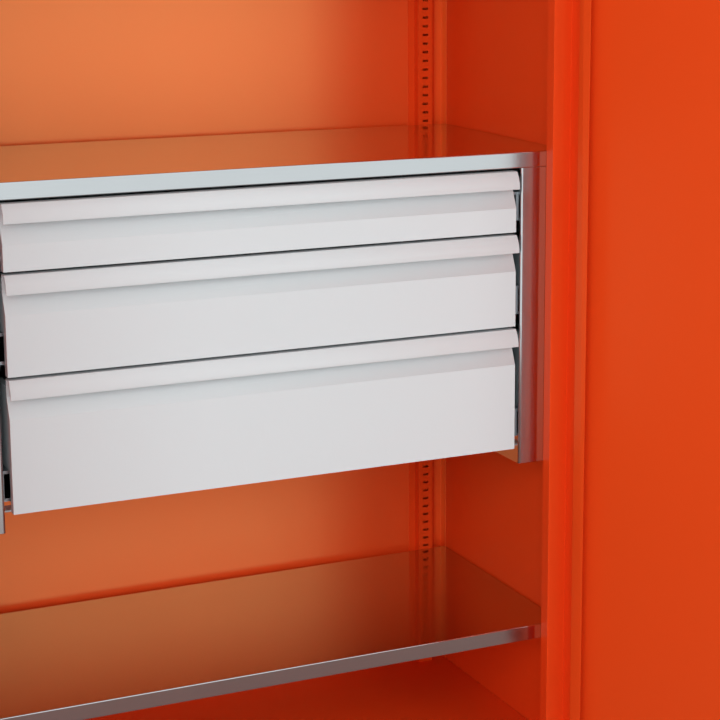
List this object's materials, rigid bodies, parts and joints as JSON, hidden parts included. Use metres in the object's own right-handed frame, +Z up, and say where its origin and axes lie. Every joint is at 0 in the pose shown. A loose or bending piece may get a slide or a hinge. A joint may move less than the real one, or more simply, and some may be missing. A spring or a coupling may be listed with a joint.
{
  "type": "storage cabinet",
  "caption": "Tall steel storage cabinet with hinged doors, galvanised shelves and a hung unit of full-width drawers on telescopic runners.",
  "frame": {"origin": "middle of the footprint on the floor", "axes": "+Z up, -Y out of the front, +X to the right of a person in front of it"},
  "size_m": [1.405, 0.9856, 1.95],
  "materials": {
    "cabinet_paint": "semi-gloss orange powder coat",
    "galvanised_sheet": "bright galvanised sheet",
    "zinc_plated": "zinc plated steel",
    "drawer_paint": "satin light grey powder coat",
    "black_plastic": "fine grained black plastic",
    "plated_lock": "nickel plated lock cylinder"
  },
  "bodies": {
    "cabinet": {"base_frame": "cabinet_paint", "bottom_panel": "cabinet_paint", "top_panel": "cabinet_paint", "back_panel": "cabinet_paint", "shelf_upper": "galvanised_sheet", "shelf_cover": "galvanised_sheet", "shelf_lower": "galvanised_sheet", "shelf_clips": "zinc_plated", "unit_tie_bars": "galvanised_sheet", "runner_screws": "zinc_plated", "side_panel_left": "cabinet_paint", "front_upright_left": "cabinet_paint", "rear_upright_left": "cabinet_paint", "unit_side_left": "galvanised_sheet", "hinge_frame_left": "cabinet_paint", "hinge_pins_left": "zinc_plated", "runner_fixed_1_left": "zinc_plated", "runner_fixed_2_left": "zinc_plated", "runner_fixed_3_left": "zinc_plated", "side_panel_right": "cabinet_paint", "front_upright_right": "cabinet_paint", "rear_upright_right": "cabinet_paint", "unit_side_right": "galvanised_sheet", "hinge_frame_right": "cabinet_paint", "hinge_pins_right": "zinc_plated", "runner_fixed_1_right": "zinc_plated", "runner_fixed_2_right": "zinc_plated", "runner_fixed_3_right": "zinc_plated"},
    "door_left": {"door_left": "cabinet_paint", "hinge_door_left": "cabinet_paint", "closing_strip": "cabinet_paint"},
    "door_right": {"door_right": "cabinet_paint", "hinge_door_right": "cabinet_paint", "lock_plate": "black_plastic", "lock_cylinder": "plated_lock", "lock_case": "zinc_plated", "rod_guides": "black_plastic"},
    "lock_turn": {"lock_handle": "black_plastic", "lock_disc": "zinc_plated"},
    "rod_upper": {"rod_upper": "zinc_plated"},
    "rod_lower": {"rod_lower": "zinc_plated"},
    "drawer_1": {"drawer_front_1": "drawer_paint", "drawer_box_1": "drawer_paint", "runner_drawer_1_left": "zinc_plated", "runner_drawer_1_right": "zinc_plated"},
    "runner_1": {"runner_middle_1_left": "zinc_plated", "runner_middle_1_right": "zinc_plated"},
    "drawer_2": {"drawer_front_2": "drawer_paint", "drawer_box_2": "drawer_paint", "runner_drawer_2_left": "zinc_plated", "runner_drawer_2_right": "zinc_plated"},
    "runner_2": {"runner_middle_2_left": "zinc_plated", "runner_middle_2_right": "zinc_plated"},
    "drawer_3": {"drawer_front_3": "drawer_paint", "drawer_box_3": "drawer_paint", "runner_drawer_3_left": "zinc_plated", "runner_drawer_3_right": "zinc_plated"},
    "runner_3": {"runner_middle_3_left": "zinc_plated", "runner_middle_3_right": "zinc_plated"}
  },
  "joints": [
    {"name": "door_left_hinge", "type": "hinge", "parent": "cabinet", "child": "door_left", "pos_m": [-0.497, -0.2543, 1.005], "axis": [0, 0, -1], "range_deg": [-115, 0]},
    {"name": "door_right_hinge", "type": "hinge", "parent": "cabinet", "child": "door_right", "pos_m": [0.497, -0.2543, 1.005], "axis": [0, 0, 1], "range_deg": [-115, 0]},
    {"name": "lock_handle_turn", "type": "hinge", "parent": "door_right", "child": "lock_turn", "pos_m": [0.68349, -0.66441, 1.01], "axis": [-0.9063, -0.4226, 0], "range_deg": [0, 90]},
    {"name": "rod_upper_slide", "type": "slide", "parent": "door_right", "child": "rod_upper", "axis": [0, 0, 1], "range_m": [0, 0.017]},
    {"name": "rod_lower_slide", "type": "slide", "parent": "door_right", "child": "rod_lower", "axis": [0, 0, -1], "range_m": [0, 0.017]},
    {"name": "drawer_1_slide", "type": "slide", "parent": "cabinet", "child": "drawer_1", "axis": [0, -1, 0], "range_m": [0, 0.4]},
    {"name": "runner_1_slide", "type": "slide", "parent": "cabinet", "child": "runner_1", "axis": [0, -1, 0], "range_m": [0, 0.2]},
    {"name": "drawer_2_slide", "type": "slide", "parent": "cabinet", "child": "drawer_2", "axis": [0, -1, 0], "range_m": [0, 0.4]},
    {"name": "runner_2_slide", "type": "slide", "parent": "cabinet", "child": "runner_2", "axis": [0, -1, 0], "range_m": [0, 0.2]},
    {"name": "drawer_3_slide", "type": "slide", "parent": "cabinet", "child": "drawer_3", "axis": [0, -1, 0], "range_m": [0, 0.4]},
    {"name": "runner_3_slide", "type": "slide", "parent": "cabinet", "child": "runner_3", "axis": [0, -1, 0], "range_m": [0, 0.2]}
  ],
  "couplings": [
    {"joint": "lock_handle_turn", "follows": "rod_upper_slide", "rad_per_m": 92.39},
    {"joint": "rod_lower_slide", "follows": "rod_upper_slide", "ratio": 1},
    {"joint": "runner_1_slide", "follows": "drawer_1_slide", "ratio": 0.5},
    {"joint": "runner_2_slide", "follows": "drawer_2_slide", "ratio": 0.5},
    {"joint": "runner_3_slide", "follows": "drawer_3_slide", "ratio": 0.5}
  ]
}
